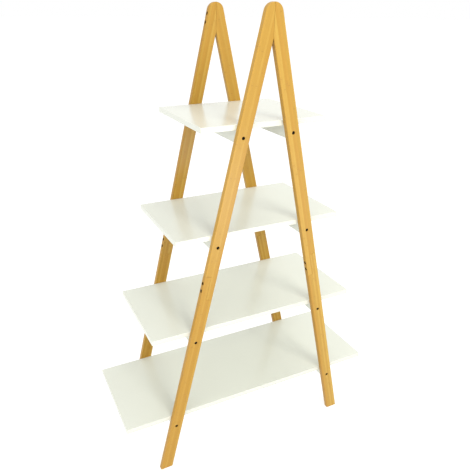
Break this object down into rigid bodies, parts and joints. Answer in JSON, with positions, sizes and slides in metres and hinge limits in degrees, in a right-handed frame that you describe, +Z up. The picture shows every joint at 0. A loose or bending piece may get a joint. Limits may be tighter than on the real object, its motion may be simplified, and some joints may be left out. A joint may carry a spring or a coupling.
{
  "type": "ladder shelf",
  "caption": "Free-standing ladder shelf: flat boards, wider towards the floor, bolted between two tapering A-shaped leg frames.",
  "frame": {"origin": "on the floor under the middle of the shelf, midway between the two leg frames", "axes": "+X to the right along the boards seen from the front, +Y from the front frame to the rear frame, +Z up"},
  "size_m": [0.895, 0.345, 1.385],
  "materials": {
    "bamboo": "laminated bamboo strips, clear satin lacquer",
    "white_lacquer": "fibreboard and timber under white semi-gloss lacquer",
    "black_bolt": "blackened steel, satin"
  },
  "bodies": {
    "root": {"apex_bolt_front_upper": "black_bolt", "apex_bolt_front_lower": "black_bolt", "leg_front_left_lower": "bamboo", "leg_front_left_upper": "bamboo", "lap_bolt_front_left_upper": "black_bolt", "lap_bolt_front_left_lower": "black_bolt", "batten_bolt_bottom_front_left": "black_bolt", "batten_bolt_lower_front_left": "black_bolt", "batten_bolt_upper_front_left": "black_bolt", "batten_bolt_top_front_left": "black_bolt", "leg_front_right_lower": "bamboo", "leg_front_right_upper": "bamboo", "lap_bolt_front_right_upper": "black_bolt", "lap_bolt_front_right_lower": "black_bolt", "batten_bolt_bottom_front_right": "black_bolt", "batten_bolt_lower_front_right": "black_bolt", "batten_bolt_upper_front_right": "black_bolt", "batten_bolt_top_front_right": "black_bolt", "apex_bolt_rear_upper": "black_bolt", "apex_bolt_rear_lower": "black_bolt", "leg_rear_left_lower": "bamboo", "leg_rear_left_upper": "bamboo", "lap_bolt_rear_left_upper": "black_bolt", "lap_bolt_rear_left_lower": "black_bolt", "batten_bolt_bottom_rear_left": "black_bolt", "batten_bolt_lower_rear_left": "black_bolt", "batten_bolt_upper_rear_left": "black_bolt", "batten_bolt_top_rear_left": "black_bolt", "leg_rear_right_lower": "bamboo", "leg_rear_right_upper": "bamboo", "lap_bolt_rear_right_upper": "black_bolt", "lap_bolt_rear_right_lower": "black_bolt", "batten_bolt_bottom_rear_right": "black_bolt", "batten_bolt_lower_rear_right": "black_bolt", "batten_bolt_upper_rear_right": "black_bolt", "batten_bolt_top_rear_right": "black_bolt", "board_bottom": "white_lacquer", "batten_bottom_left": "white_lacquer", "batten_bottom_right": "white_lacquer", "board_lower": "white_lacquer", "batten_lower_left": "white_lacquer", "batten_lower_right": "white_lacquer", "board_upper": "white_lacquer", "batten_upper_left": "white_lacquer", "batten_upper_right": "white_lacquer", "board_top": "white_lacquer", "batten_top_left": "white_lacquer", "batten_top_right": "white_lacquer"}
  },
  "joints": []
}
